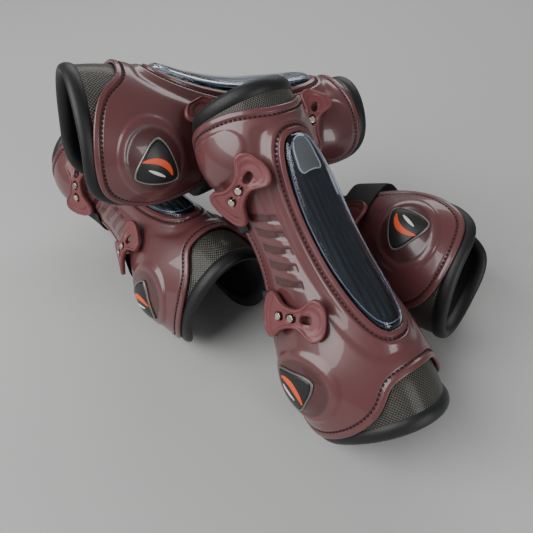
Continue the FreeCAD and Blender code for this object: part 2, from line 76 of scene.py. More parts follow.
def skin(angle, z, level=0.0):
    """x = -(a + r) sin t, y = c - (b + r) cos t, with a, b, c of z and r = level + two cups."""
    t = np.radians(angle)
    a = 32 + 12 * smooth((150 - z) / 105) + 6 * smooth((z - 160) / 80)
    b = 43 + 17 * smooth((150 - z) / 130)
    c = -6.4 * smooth((120 - z) / 110)
    across = (np.abs(angle) - 98) / 40
    reach = level + 11 * np.exp(-1.4 * (across**2 + ((z - 48) / 42) ** 2))
    reach = reach + 9 * np.exp(-1.4 * (across**2 + ((z - 212) / 34) ** 2))
    x = -(a + reach) * np.sin(t)
    y = c - (b + reach) * np.cos(t)
    return np.stack(np.broadcast_arrays(x, y, z), -1)


def mm_per_degree(angle, z):
    """|skin(angle + 1/2) - skin(angle - 1/2)|."""
    return np.linalg.norm(skin(angle + 0.5, z) - skin(angle - 0.5, z), axis=-1)


def curve(points, count, closed):
    """Cubic spline through the points over chord length, cut into count even steps."""
    p = np.array(points, float)
    if closed:
        p = np.vstack([p[-4:], p, p[:5]])
    t = np.concatenate([[0], np.cumsum(np.linalg.norm(np.diff(p, axis=0), axis=1))])
    h = np.diff(t)
    n = len(p)
    left = np.eye(n)
    right = np.zeros((n, 2))
    i = np.arange(1, n - 1)
    left[i, i - 1] = h[:-1]
    left[i, i] = 2 * (h[:-1] + h[1:])
    left[i, i + 1] = h[1:]
    slopes = np.diff(p, axis=0) / h[:, None]
    right[1:-1] = 6 * np.diff(slopes, axis=0)
    m = np.linalg.solve(left, right)
    first, last = (t[4], t[-5]) if closed else (t[0], t[-1])
    s = np.linspace(first, last, 4000)
    k = np.clip(np.searchsorted(t, s) - 1, 0, n - 2)
    u = (s - t[k])[:, None]
    w = h[k][:, None] - u
    hk = h[k][:, None]
    fine = (m[k] * w**3 + m[k + 1] * u**3) / (6 * hk)
    fine += (p[k] / hk - m[k] * hk / 6) * w + (p[k + 1] / hk - m[k + 1] * hk / 6) * u
    run = np.concatenate([[0], np.cumsum(np.linalg.norm(np.diff(fine, axis=0), axis=1))])
    even = np.linspace(0, run[-1], count + 1)
    return np.stack([np.interp(even, run, fine[:, 0]), np.interp(even, run, fine[:, 1])], 1)


def whole(half):
    """Closed outline: the half, then its mirror image in angle, without the repeats."""
    mirrored = half[-2:0:-1] * np.array([-1, 1])
    return np.vstack([half, mirrored])


def inset(ring, distance):
    """Each point of a closed outline moved in by the distance, square to its neighbours."""
    scale = mm_per_degree(ring[:, 0], ring[:, 1])
    run = np.roll(ring, -1, 0) - np.roll(ring, 1, 0)
    run = run * np.stack([scale, np.ones_like(scale)], 1)
    run /= np.linalg.norm(run, axis=1)[:, None]
    return ring + distance * np.stack([-run[:, 1] / scale, run[:, 0]], 1)


def far_from(angle, z, line):
    """Smallest distance on the skin, in mm, from each (angle, z) to a line of places."""
    scale = mm_per_degree(angle, z)
    best = np.full(angle.shape, 1e9)
    for a, h in line:
        best = np.minimum(best, ((angle - a) * scale) ** 2 + (z - h) ** 2)
    return np.sqrt(best)


WINDOW_BOTTOM = 64.0
WINDOW_TOP = 208.0
WINDOW_MIDDLE = (WINDOW_BOTTOM + WINDOW_TOP) / 2
WINDOW_REACH = (WINDOW_TOP - WINDOW_BOTTOM) / 2
turn = np.pi * np.arange(15) / 14
window_z = WINDOW_MIDDLE - WINDOW_REACH * np.sign(np.cos(turn)) * np.abs(np.cos(turn)) ** 0.62
window_wide = 17 * np.abs(np.sin(turn)) ** 0.62
window_a = 32 + 12 * smooth((150 - window_z) / 105) + 6 * smooth((window_z - 160) / 80)
WINDOW_HALF = np.stack([np.degrees(np.arcsin(window_wide / window_a)), window_z], 1)


def put(points, boot):
    """Row-frame metres of points in a boot's own millimetres."""
    side, centre, turns = HEAP[boot]
    yaw, pitch, roll = np.radians(turns)
    rotation = np.array(Euler((roll, pitch, yaw), "XYZ").to_matrix())
    local = points * np.array([side, 1, 1]) - np.array([0, 0, BOOT_HEIGHT / 2])
    return (local @ rotation.T + np.array(centre) - HEAP_ORIGIN) / 1000


def piece(name, boot, body, grids, material, lays=None, weld=1e-6):
    """One closed object from grids of points, each (rows, columns, 3, wraps rows, wraps columns).

    lays gives, for each grid, the (u, v) in millimetres that its material's pattern follows,
    and on the shell a third value that is 1 where the face is sunk and painted darker as shade.
    """
    verts, faces, flat = [], [], []
    base = 0
    for g, (points, wrap_rows, wrap_columns) in enumerate(grids):
        rows, columns = points.shape[:2]
        index = np.arange(rows * columns).reshape(rows, columns) + base
        if wrap_rows:
            index = np.vstack([index, index[:1]])
        if wrap_columns:
            index = np.hstack([index, index[:, :1]])
        quads = np.stack([index[:-1, :-1], index[1:, :-1], index[1:, 1:], index[:-1, 1:]], -1)
        verts.append(put(points.reshape(-1, 3), boot))
        faces.append(quads.reshape(-1, 4))
        lay = np.zeros((rows, columns, 3))
        if lays is not None:
            lay[..., :lays[g].shape[-1]] = lays[g]
        flat.append(lay.reshape(-1, 3))
        base += rows * columns
    verts = np.vstack(verts)
    faces = np.vstack(faces)
    flat = np.vstack(flat)
    mesh = bpy.data.meshes.new(name)
    mesh.vertices.add(len(verts))
    mesh.vertices.foreach_set("co", verts.ravel())
    mesh.loops.add(faces.size)
    mesh.loops.foreach_set("vertex_index", faces.ravel().astype(np.int32))
    mesh.polygons.add(len(faces))
    mesh.polygons.foreach_set("loop_start", np.arange(0, faces.size, 4, dtype=np.int32))
    mesh.polygons.foreach_set("loop_total", np.full(len(faces), 4, dtype=np.int32))
    lay = mesh.attributes.new("lay", "FLOAT_VECTOR", "POINT")
    lay.data.foreach_set("vector", flat.ravel())
    mesh.update(calc_edges=True)
    mesh.validate()
    work = bmesh.new()
    work.from_mesh(mesh)
    bmesh.ops.remove_doubles(work, verts=work.verts, dist=weld)
    bmesh.ops.recalc_face_normals(work, faces=work.faces)
    work.to_mesh(mesh)
    work.free()
    mesh.polygons.foreach_set("use_smooth", np.ones(len(mesh.polygons), bool))
    mesh.materials.append(material)
    made = bpy.data.objects.new(name, mesh)
    bpy.context.scene.collection.objects.link(made)
    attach(made, body)
    return made


# ------------------------------------------------------------ material helpers
# Materials are node graphs whose patterns follow real sizes: "lay" millimetres on the made pieces
# and
# Object coordinates on the shell and the toggles. Colours are sRGB hex, turned to linear in one
# place.
def linear(code):
    """sRGB hex to linear: ((c + 0.055) / 1.055)^2.4 above 0.04045, c / 12.92 below."""
    c = np.array([int(code[i:i + 2], 16) for i in (0, 2, 4)]) / 255
    return tuple(np.where(c > 0.04045, ((c + 0.055) / 1.055) ** 2.4, c / 12.92)) + (1.0,)


def add(material, kind, inputs=None, **settings):
    """Adds a node, sets its properties, and sets or links its inputs by name or number."""
    node = material.node_tree.nodes.new(kind)
    for key, value in settings.items():
        setattr(node, key, value)
    for key, value in (inputs or {}).items():
        socket = node.inputs[key]
        if isinstance(value, bpy.types.NodeSocket):
            material.node_tree.links.new(value, socket)
        else:
            socket.default_value = value
    return node


def surface(name, **constants):
    """A material whose Principled shader has these constants, by socket name."""
    material = bpy.data.materials.new(name)
    material.use_nodes = True
    shader = material.node_tree.nodes["Principled BSDF"]
    for key, value in constants.items():
        shader.inputs[key.replace("_", " ")].default_value = value
    return material, shader


def link(material, source, target):
    material.node_tree.links.new(source, target)


def math(material, operation, first, second=0.0):
    node = add(material, "ShaderNodeMath", {0: first, 1: second}, operation=operation)
    return node.outputs[0]


# ------------------------------------------------------------ outer shell
# The real shell is one thermoplastic polyurethane moulding, 2.4 mm thick, pressed over the leg
# shape. A bead runs round its rim and round the window, with a stitched groove inside each, and
# flutes, a row of slanting bars and a raised field for the badge are moulded into its face.
RING = 640
ACROSS = 101
SHELL_WALL = 2.4
shell_half = curve(SHELL_EDGE, RING // 2, False)
hole_half = curve(WINDOW_HALF, RING // 2, False)
shell_ring = whole(shell_half)
hole_ring = whole(hole_half)
share = np.linspace(0, 1, ACROSS)
share = share - 0.55 * np.sin(2 * np.pi * share) / (2 * np.pi)
shell_place = hole_ring[None] + (shell_ring - hole_ring)[None] * share[:, None, None]
shell_angle = shell_place[..., 0]
shell_z = shell_place[..., 1]
from_hole = far_from(shell_angle, shell_z, hole_ring[::2])
from_edge = far_from(shell_angle, shell_z, shell_ring[::2])


def shell_relief(angle, z, hole, edge):
    """Beads, grooves and flutes of the two distances, plus bars and a badge field of place."""
    side = np.abs(angle)
    mm = mm_per_degree(angle, z)
    lift = 0.7 * smooth((3.4 - edge) / 1.0) - 0.9 * bump(edge - 4.4, 0.75)
    lift += 1.5 * smooth((4.2 - hole) / 1.4) - 0.9 * bump(hole - 5.2, 0.8)
    lift += 0.5 * bump(hole - 7.8, 1.8)
    open_face = smooth((edge - 9) / 6)
    lift -= 1.4 * bump(hole - 16.5, 5.0) * open_face * smooth((34 - hole) / 8)
    u = (side - 73) * mm
    tilt = (z - 141) - 0.45 * u
    wave = np.cos(2 * np.pi * tilt / 12.0)
    bars = smooth((wave + 0.2) / 0.4) * smooth((11.5 - np.abs(u)) / 0.8)
    bars = bars * smooth((29.0 - np.abs(tilt)) / 1.0)
    lift -= 0.6 * bars
    field = np.sqrt(((side - 91) * mm / 27) ** 2 + ((z - 48) / 24) ** 2)
    inside = smooth((edge - 7) / 3)
    outer_side = inside * smooth(angle / 20)
    lift += 1.2 * smooth((1.14 - field) / 0.10) * outer_side
    lift -= 0.9 * smooth((0.92 - field) / 0.10) * outer_side
    shoulder = np.sqrt(((side - 92) * mm / 30) ** 2 + ((z - 216) / 19) ** 2)
    lift += 0.9 * smooth((1.05 - shoulder) / 0.12) * inside
    # The second value marks the sunk bars and the badge hollow, which the shell's material paints
    # darker as painted shade.
    return lift, np.maximum(bars, 0.8 * smooth((0.9 - field) / 0.05) * outer_side)


relief, painted_recess_shade = shell_relief(shell_angle, shell_z, from_hole, from_edge)
outer = skin(shell_angle, shell_z, relief)
inner = skin(shell_angle, shell_z, -SHELL_WALL)[::-5]
round_steps = np.linspace(0, np.pi, 7)[1:-1]


def rounded(ring, outward, depth_out, thickness, reach):
    """A half round between two levels: level = mid + T/2 cos t, pushed out by reach sin t."""
    rows = []
    for t in round_steps:
        moved = inset(ring, -outward * reach * np.sin(t))
        level = depth_out - thickness / 2 * (1 - np.cos(t))
        rows.append(skin(moved[:, 0], moved[:, 1], level))
    return np.array(rows)


rim = rounded(shell_ring, 1, relief[-1], SHELL_WALL + relief[-1], 1.1)
frame_rim = rounded(hole_ring, -1, relief[0], SHELL_WALL + relief[0], 0.35)[::-1]
shell_grid = np.concatenate([outer, rim, inner, frame_rim])
shell_shade_lay = np.zeros(shell_grid.shape)
shell_shade_lay[:ACROSS, :, 2] = painted_recess_shade

tpu, tpu_shader = surface(
    "burgundy_tpu_high_gloss_mould",
    Roughness=0.34, Specular_IOR_Level=0.5, Coat_Weight=0.5, Coat_Roughness=0.035,
)
# Polished mould faces give sharp broad highlights; a faint flow ripple keeps them from being
# mirror straight, and a slow change of tone is the pigment drawn out by the moulding.
place = add(tpu, "ShaderNodeTexCoord").outputs["Object"]
tone = add(tpu, "ShaderNodeTexNoise", {"Vector": place, "Scale": 18.0, "Detail": 2.0})
ramp = add(tpu, "ShaderNodeMix", {"Factor": tone.outputs["Fac"]}, data_type="RGBA")
ramp.inputs["A"].default_value = linear("5b3335")
ramp.inputs["B"].default_value = linear("683c3e")
lay = add(tpu, "ShaderNodeAttribute", attribute_name="lay").outputs["Vector"]
recess_shade_mask = add(tpu, "ShaderNodeSeparateXYZ", {0: lay}).outputs["Z"]
# Painted shade: the sunk bars and the badge hollow get the darker colour 432021, standing in for
# the shade that falls in these hollows.
recess_shade_mix = add(tpu, "ShaderNodeMix", {"Factor": recess_shade_mask}, data_type="RGBA")
link(tpu, ramp.outputs["Result"], recess_shade_mix.inputs["A"])
recess_shade_mix.inputs["B"].default_value = linear("432021")
link(tpu, recess_shade_mix.outputs["Result"], tpu_shader.inputs["Base Color"])
flow = add(tpu, "ShaderNodeTexNoise", {"Vector": place, "Scale": 60.0, "Detail": 2.0})
flow_bump = add(tpu, "ShaderNodeBump", {
    "Height": flow.outputs["Fac"], "Strength": 0.12, "Distance": 0.0004,
})
link(tpu, flow_bump.outputs["Normal"], tpu_shader.inputs["Normal"])

for boot in HEAP:
    shell = piece(
        boot + "_moulded_shell", boot, boot + "_boot", [(shell_grid, True, True)], tpu, [shell_shade_lay]
    )
    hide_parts(boot + "_shell")

# ------------------------------------------------------------ stitching
# A waxed polyester thread lies in both grooves of the shell, through holes about 3.3 mm apart, and
# holds shell, trim and lining together. Each stitch is a short bar that dips at its two ends.
THREAD_RADIUS = 0.5
STITCH_PITCH = 3.3


def stitches(ring, depth, level):
    """Bars along a closed line: centre + s along + radius (cos, sin), ends pulled under."""
    line = inset(ring, depth)
    path = skin(line[:, 0], line[:, 1], level)
    path = np.vstack([path, path[:1]])
    run = np.concatenate([[0], np.cumsum(np.linalg.norm(np.diff(path, axis=0), axis=1))])
    count = int(run[-1] / STITCH_PITCH)
    s = np.linspace(-0.5, 0.5, 7)
    at = (np.arange(count)[:, None] + 0.5 + 0.7 * s[None]) * run[-1] / count
    centre = np.stack([np.interp(at, run, path[:, k]) for k in range(3)], -1)
    along = np.gradient(centre, axis=1)
    along /= np.linalg.norm(along, axis=2)[..., None]
    out = centre * np.array([1, 1, 0])
    out -= (out * along).sum(2)[..., None] * along
    out /= np.linalg.norm(out, axis=2)[..., None]
    across = np.cross(along, out)
    dip = (0.25 - 2.4 * s**4)[None, :, None]
    thick = THREAD_RADIUS * np.sqrt(1.02 - (2 * np.abs(s)) ** 6)
    t = np.linspace(0, 2 * np.pi, 7)[:-1]
    round_part = out[:, :, None] * np.cos(t)[None, None, :, None]
    round_part = round_part + across[:, :, None] * np.sin(t)[None, None, :, None]
    body = (centre + out * dip)[:, :, None] + round_part * thick[None, :, None, None]
    cap_a = np.repeat(body[:, :1].mean(2, keepdims=True), 6, 2)
    cap_b = np.repeat(body[:, -1:].mean(2, keepdims=True), 6, 2)
    return [(bar, False, True) for bar in np.concatenate([cap_a, body, cap_b], 1)]


thread, _ = surface(
    "waxed_polyester_thread_dark_bordeaux", Base_Color=linear("1d0b0d"), Roughness=0.6
)
thread_grids = stitches(shell_ring, 4.4, -0.55) + stitches(hole_ring, -5.2, -0.3)
for boot in HEAP:
    seam = piece(boot + "_stitching", boot, boot + "_boot", thread_grids, thread)

# ------------------------------------------------------------ lining
# The lining is one sheet of neoprene foam 4 mm thick, faced with black knit, glued and stitched
# behind the shell. It runs on under the window and past the shell's rim all round.
LINING_OUT = -4.35
LINING_IN = -8.5


def disc_places(ring, rows):
    """Shares of the way from the middle line (0, z') to a closed outline, rows of them."""
    s = np.linspace(0, 1, rows)[:, None]
    mid = (ring[:, 1].max() + ring[:, 1].min()) / 2
    place_z = mid + (ring[:, 1] - mid) * (0.72 * s + 0.28 * s**2)
    return ring[:, 0] * s, place_z, s + 0 * ring[None, :, 0]


lining_ring = inset(whole(curve(BOOT_EDGE, 240, False)), 2.6)
lining_a, lining_z, lining_s = disc_places(lining_ring, 34)
wrinkle = 0.35 * np.sin(lining_z / 7.3 + 1.7 * np.sin(lining_a / 19)) * bump(lining_s - 0.7, 0.35)
lining_grid = np.concatenate([
    skin(lining_a, lining_z, LINING_OUT),
    skin(lining_a, lining_z, LINING_IN + wrinkle)[::-1],
])
lining_lay = np.concatenate([np.stack([lining_a * 0.8, lining_z], -1)] * 2)

neoprene, neoprene_shader = surface(
    "black_neoprene_knit_faced", Base_Color=linear("0b0b0d"), Roughness=0.85, Sheen_Weight=0.08
)
# The knit face is a fine loop texture at 0.8 mm that kills all shine but a dull edge glow.
lay = add(neoprene, "ShaderNodeAttribute", attribute_name="lay").outputs["Vector"]
knit = add(neoprene, "ShaderNodeTexVoronoi", {"Vector": lay, "Scale": 1.2})
knit_bump = add(neoprene, "ShaderNodeBump", {
    "Height": knit.outputs["Distance"], "Strength": 0.4, "Distance": 0.0003,
})
link(neoprene, knit_bump.outputs["Normal"], neoprene_shader.inputs["Normal"])
for boot in HEAP:
    pad = piece(
        boot + "_neoprene_lining", boot, boot + "_boot", [(lining_grid, False, True)],
        neoprene, [lining_lay],
    )
    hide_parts(boot + "_lining")

# ------------------------------------------------------------ rolled edge
# The same neoprene is turned over on itself all round the boot and stitched down, which gives a
# soft round hem, fuller at the two ends of the leg than along the front edges.
hem_ring = whole(curve(BOOT_EDGE, 360, False))
hem_ring = inset(hem_ring, 2.4)
hem_path = skin(hem_ring[:, 0], hem_ring[:, 1], (LINING_OUT + LINING_IN) / 2 + 0.6)
hem_along = np.roll(hem_path, -1, 0) - np.roll(hem_path, 1, 0)
hem_along /= np.linalg.norm(hem_along, axis=1)[:, None]
hem_out = skin(hem_ring[:, 0], hem_ring[:, 1], 1.0) - skin(hem_ring[:, 0], hem_ring[:, 1], 0.0)
hem_out -= (hem_out * hem_along).sum(1)[:, None] * hem_along
hem_out /= np.linalg.norm(hem_out, axis=1)[:, None]
hem_side = np.cross(hem_along, hem_out)
hem_end = np.maximum(smooth((42 - hem_ring[:, 1]) / 20), smooth((hem_ring[:, 1] - 208) / 20))
hem_radius = 3.0 + 1.1 * hem_end
hem_reach = 3.8 + 2.2 * hem_end
hem_t = np.linspace(0, 2 * np.pi, 25)[:-1][:, None, None]
hem_grid = hem_path[None] + hem_out[None] * hem_radius[None, :, None] * np.cos(hem_t)
hem_grid = hem_grid + hem_side[None] * hem_reach[None, :, None] * np.sin(hem_t)
hem_run = np.cumsum(np.linalg.norm(np.roll(hem_path, -1, 0) - hem_path, axis=1))
hem_lay = np.stack(np.broadcast_arrays(hem_run[None], hem_t[..., 0] * 3.4), -1)
rolled, rolled_shader = surface(
    "black_neoprene_smooth_skin_rolled",
    Base_Color=linear("0b0b0f"), Roughness=0.5, Sheen_Weight=0.04,
)
# The smooth skin side faces out on the roll: a soft broad highlight along it, slightly blue.
lay = add(rolled, "ShaderNodeAttribute", attribute_name="lay").outputs["Vector"]
pull = add(rolled, "ShaderNodeTexNoise", {"Vector": lay, "Scale": 0.25, "Detail": 3.0})
pull_bump = add(rolled, "ShaderNodeBump", {
    "Height": pull.outputs["Fac"], "Strength": 0.3, "Distance": 0.0006,
})
link(rolled, pull_bump.outputs["Normal"], rolled_shader.inputs["Normal"])
for boot in HEAP:
    hem = piece(
        boot + "_rolled_hem", boot, boot + "_boot", [(hem_grid, True, True)], rolled, [hem_lay]
    )
    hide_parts(boot + "_lower_roll", boot + "_upper_roll")

# ------------------------------------------------------------ woven trims
# A band of checked weave under a clear coat fills the space between the shell's rim and the
# roll at both ends of the boot. It is sewn to the lining and tucked under the shell.
trim_ring_out = inset(whole(curve(BOOT_EDGE, RING // 2, False)), 2.0)
trim_ring_in = inset(shell_ring, 5.0)
trim_s = np.linspace(0, 1, 9)[:, None, None]
trim_place = trim_ring_in[None] + (trim_ring_out - trim_ring_in)[None] * trim_s
trim_level = -2.75 - 0.9 * trim_s[..., 0]
trim_grid = np.concatenate([
    skin(trim_place[..., 0], trim_place[..., 1], trim_level),
    skin(trim_place[..., 0], trim_place[..., 1], trim_level - 0.75)[::-1],
])
trim_lay = np.stack([trim_place[..., 0] * 0.85, trim_place[..., 1]], -1)
weave, weave_shader = surface(
    "checked_weave_clear_coated", Roughness=0.42, Coat_Weight=0.25, Coat_Roughness=0.2
)
# Flat bright strands cross dark ones at 2.4 mm, so each little square catches the light alone.
lay = add(weave, "ShaderNodeAttribute", attribute_name="lay").outputs["Vector"]
parts = add(weave, "ShaderNodeSeparateXYZ", {0: lay})
wave_u = math(weave, "SINE", math(weave, "MULTIPLY", parts.outputs["X"], 2.62))
wave_v = math(weave, "SINE", math(weave, "MULTIPLY", parts.outputs["Y"], 2.62))
check = math(weave, "MULTIPLY", wave_u, wave_v)
spread = add(weave, "ShaderNodeMapRange", {"Value": check, "From Min": -0.1, "From Max": 0.6})
bright = spread.outputs["Result"]
shade = add(weave, "ShaderNodeMix", {"Factor": bright}, data_type="RGBA")
shade.inputs["A"].default_value = linear("121211")
shade.inputs["B"].default_value = linear("5e5a50")
link(weave, shade.outputs["Result"], weave_shader.inputs["Base Color"])
link(weave, math(weave, "MULTIPLY", bright, 0.7), weave_shader.inputs["Metallic"])
weave_bump = add(weave, "ShaderNodeBump", {"Height": check, "Strength": 0.6, "Distance": 0.0004})
link(weave, weave_bump.outputs["Normal"], weave_shader.inputs["Normal"])
for boot in HEAP:
    trim = piece(boot + "_woven_trim", boot, boot + "_boot", [(trim_grid, True, True)], weave,
                 [np.concatenate([trim_lay, trim_lay])])
    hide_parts(boot + "_lower_trim", boot + "_upper_trim")

# ------------------------------------------------------------ window
# The window is a thick blister of clear polyurethane, pressed up through the shell's frame. Its
# walls stand 6 mm proud and roll over into a flat face.
WINDOW_RISE = 5.4
window_ring = inset(whole(curve(WINDOW_HALF, 120, False)), 0.5)


def blister(ring, rows, base, rise, power, wall, flat=0.0):
    """Closed dome: level = base + rise (1 - s^p) - flat cos^2(pi a / 2 A), none by the rim."""
    s = 1 - (1 - np.linspace(0, 1, rows)[:, None]) ** 1.8
    mid = (ring[:, 1].max() + ring[:, 1].min()) / 2
    angle = ring[None, :, 0] * s
    z = mid + (ring[None, :, 1] - mid) * s
    level = base + rise * (1 - s**power)
    half_angle = np.abs(ring[:, 0]).max()
    pressed = flat * np.cos(np.pi / 2 * angle / half_angle) ** 2 * smooth((1 - s) / 0.3)
    level = level - pressed
    outer_face = skin(angle, z, level)
    under = level - wall
    return np.concatenate([outer_face, skin(angle, z, under)[::-1]])


window_grid = blister(window_ring, 44, 0.9, WINDOW_RISE, 14, 1.6, 2.6)
clear, _ = surface(
    "clear_polyurethane_gloss", Base_Color=linear("e6edf8"), Roughness=0.03,
    Transmission_Weight=1.0, IOR=1.36,
)
# Clear and polished: it shows the ribs inside. The bright bluish line round its thick edge is
# painted light: a pale blue tube laid inside the wall.


def tube(path, outward, radius, turns):
    """path + radius (outward cos t + side sin t), side square to the path and to outward."""
    along = np.roll(path, -1, 0) - np.roll(path, 1, 0)
    across = np.cross(along / np.linalg.norm(along, axis=1)[:, None], outward)
    t = np.linspace(0, 2 * np.pi, turns + 1)[:-1][:, None, None]
    return path[None] + radius * (outward[None] * np.cos(t) + across[None] * np.sin(t))


EDGE_SHARE = 0.93
EDGE_LEVEL = 3.4
edge_a = window_ring[:, 0] * EDGE_SHARE
edge_z = WINDOW_MIDDLE + (window_ring[:, 1] - WINDOW_MIDDLE) * EDGE_SHARE
edge_path = skin(edge_a, edge_z, EDGE_LEVEL)
edge_grid = tube(edge_path, skin(edge_a, edge_z, EDGE_LEVEL + 1) - edge_path, 0.4, 8)
painted_edge_glow, _ = surface(
    "painted_pale_blue_glow_of_the_thick_edge", Base_Color=linear("9fb0cf"), Roughness=0.25,
    Transmission_Weight=0.35,
)
# Painted highlight: light piles up where the wall turns over, and a pale blue tube inside the wall
# paints that bright line of light.
for boot in HEAP:
    pane = piece(boot + "_clear_window", boot, boot + "_boot", [(window_grid, False, True)], clear)
    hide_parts(boot + "_window")
    painted_glow_line = piece(boot + "_window_edge_painted_glow", boot, boot + "_boot", [(edge_grid, True, True)], painted_edge_glow)

# ------------------------------------------------------------ ribbed core and its end cap
# Behind the window lies the shock absorber: a dark moulded gel pad with ribs that run up the
# leg, and at its upper end a pale D-shaped cap with a white lip.
core_ring = inset(whole(curve(WINDOW_HALF, 120, False)), 3.2)
core_s = 1 - (1 - np.linspace(0, 1, 40)[:, None]) ** 1.4
core_a = core_ring[None, :, 0] * core_s
core_z = WINDOW_MIDDLE + (core_ring[None, :, 1] - WINDOW_MIDDLE) * core_s
core_x = core_a * 0.62
ribs = 0.4 * np.cos(2 * np.pi * core_x / 4.6) * smooth((1 - core_s) / 0.12)
ribs = ribs * smooth((178 - core_z) / 6)
core_flat = 2.0 * np.cos(np.pi / 2 * core_a / 30) ** 2
core_level = -2.0 + 4.4 * (1 - core_s**6) - core_flat + ribs
core_grid = np.concatenate([skin(core_a, core_z, core_level), skin(core_a, core_z, -3.9)[::-1]])
gel, _ = surface(
    "dark_gel_satin_moulded", Base_Color=linear("26282a"), Roughness=0.6, Specular_IOR_Level=0.4
)
cap_half = [
    (0, 180.5), (7, 180.3), (12.5, 180.3), (14.3, 182), (14.0, 188),
    (12.4, 195), (9, 201), (5, 203.8), (0, 204.6),
]
cap_ring = whole(curve(cap_half, 60, False))
cap_grid = blister(cap_ring, 24, 0.6, 1.3, 14, 1.6)
lip_ring = inset(cap_ring, 0.2)
lip_path = skin(lip_ring[:, 0], lip_ring[:, 1], 1.9)
lip_out = skin(lip_ring[:, 0], lip_ring[:, 1], 2.9) - lip_path
lip_grid = tube(lip_path, lip_out, 0.45, 8)
pale, _ = surface("pale_grey_beige_cap_satin", Base_Color=linear("8d877f"), Roughness=0.45)
white, _ = surface("white_lip_gloss", Base_Color=linear("e6e6e6"), Roughness=0.3)
for boot in HEAP:
    core = piece(boot + "_ribbed_core", boot, boot + "_boot", [(core_grid, False, True)], gel)
    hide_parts(boot + "_core")
    cap = piece(boot + "_core_cap", boot, boot + "_boot", [(cap_grid, False, True)], pale)
    lip = piece(boot + "_cap_lip", boot, boot + "_boot", [(lip_grid, True, True)], white)

# ------------------------------------------------------------ badge
# The badge is a domed rounded triangle of black rubber with a thin light rim, pressed into the
# shell's side. Its mark is a plain leaf-shaped stroke and a plain bar.
BADGE_CORNERS = np.array([(105.5, 67.0), (73.0, 52.5), (103.0, 28.5)])
BADGE_CORNER = 4.6
BADGE_BOW = 1.2
badge_middle = BADGE_CORNERS.mean(0)
badge_scale = float(mm_per_degree(badge_middle[0], badge_middle[1]))
badge_flat = (BADGE_CORNERS - badge_middle) * np.array([badge_scale, 1])
badge_points = []
for i in range(3):
    corner = badge_flat[i]
    following = badge_flat[(i + 1) % 3]
    before = (badge_flat[i - 1] - corner) / np.linalg.norm(badge_flat[i - 1] - corner)
    after = (following - corner) / np.linalg.norm(following - corner)
    half_turn = np.arccos(before @ after) / 2
    back = BADGE_CORNER / np.tan(half_turn)
    bisector = (before + after) / np.linalg.norm(before + after)
    middle = corner + bisector * (BADGE_CORNER / np.sin(half_turn) - BADGE_CORNER)
    side = (corner + following) / 2
    bowed = side * (1 + BADGE_BOW / np.linalg.norm(side))
    badge_points += [corner + before * back, middle, corner + after * back, bowed]
badge_ring = curve(badge_points, 96, True)[:-1] / np.array([badge_scale, 1]) + badge_middle


def on_badge(flat, level):
    """Skin places of flat millimetres about the badge's middle."""
    angle = flat[..., 0] / badge_scale + badge_middle[0]
    return skin(angle, flat[..., 1] + badge_middle[1], level)


badge_s = np.linspace(0, 1, 22)[:, None]
badge_a = badge_middle[0] + (badge_ring[None, :, 0] - badge_middle[0]) * badge_s
badge_z = badge_middle[1] + (badge_ring[None, :, 1] - badge_middle[1]) * badge_s
badge_level = 1.9 + 0.5 * (1 - badge_s**2) - 1.6 * smooth((badge_s - 0.9) / 0.1) + 0.0 * badge_a
badge_under = skin(badge_a, badge_z, 0.25)[::-1]
badge_grid = np.concatenate([skin(badge_a, badge_z, badge_level), badge_under])
bezel_s = np.linspace(0.955, 1.055, 7)[:, None]
bezel_a = badge_middle[0] + (badge_ring[None, :, 0] - badge_middle[0]) * bezel_s
bezel_z = badge_middle[1] + (badge_ring[None, :, 1] - badge_middle[1]) * bezel_s
bezel_up = 1.5 + 0.75 * np.sin(np.pi * (bezel_s - 0.955) / 0.1) + 0.0 * bezel_a
bezel_grid = np.concatenate([skin(bezel_a, bezel_z, bezel_up), skin(bezel_a, bezel_z, 0.6)[::-1]])


def leaf(start, bend, end, width):
    """A flat stroke: quadratic path, half width w sqrt(sin) tapering to both ends, flat on top."""
    t = np.linspace(0, 1, 40)[:, None]
    path = (1 - t) ** 2 * np.array(start) + 2 * t * (1 - t) * np.array(bend) + t**2 * np.array(end)
    along = np.gradient(path, axis=0)
    along /= np.linalg.norm(along, axis=1)[:, None]
    across = np.stack([-along[:, 1], along[:, 0]], 1)
    wide = width * np.sin(np.pi * np.clip(t, 0.0, 1.0)) ** 0.6
    v = np.linspace(-1, 1, 9)
    flat = path[:, None] + across[:, None] * (wide * v[None])[..., None]
    top = 2.55 + 0.0 * flat[..., 0]
    return np.concatenate([on_badge(flat, top), on_badge(flat, top - 0.6)[:, ::-1]], 1)


rubber, _ = surface("black_moulded_rubber_badge", Base_Color=linear("1d1d1e"), Roughness=0.4)
pewter, _ = surface(
    "grey_bezel_satin", Base_Color=linear("7b7572"), Roughness=0.35, Metallic=0.4
)
orange, _ = surface("orange_print", Base_Color=linear("e8572a"), Roughness=0.45)
chalk, _ = surface("white_print", Base_Color=linear("e4e2df"), Roughness=0.5)
stroke_grid = leaf((8.0, 10.0), (-7.5, 6.5), (-3.2, -12.0), 2.5)
bar_grid = leaf((2.2, -8.0), (4.6, -1.6), (8.0, 4.4), 1.2)
for boot in HEAP:
    badge = piece(boot + "_side_badge", boot, boot + "_boot", [(badge_grid, False, True)], rubber)
    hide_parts(boot + "_badge")
    bezel = piece(boot + "_badge_bezel", boot, boot + "_boot", [(bezel_grid, True, True)], pewter)
    stroke = piece(
        boot + "_badge_stroke", boot, boot + "_boot", [(stroke_grid, False, True)], orange
    )
    bar = piece(boot + "_badge_bar", boot, boot + "_boot", [(bar_grid, False, True)], chalk)

# ------------------------------------------------------------ elastic straps
# Each strap is 28 mm woven elastic. It is riveted to the inner side, crosses the open front, and
# is sewn through the toggle, whose two holes hook over the studs on the outer side.
STRAPS = {"lower": 103.0, "upper": 175.0}
STRAP_WIDTH = 28.0
front = np.array([p for p in SHELL_EDGE if p[0] > 100 and 20 < p[1] < 225])


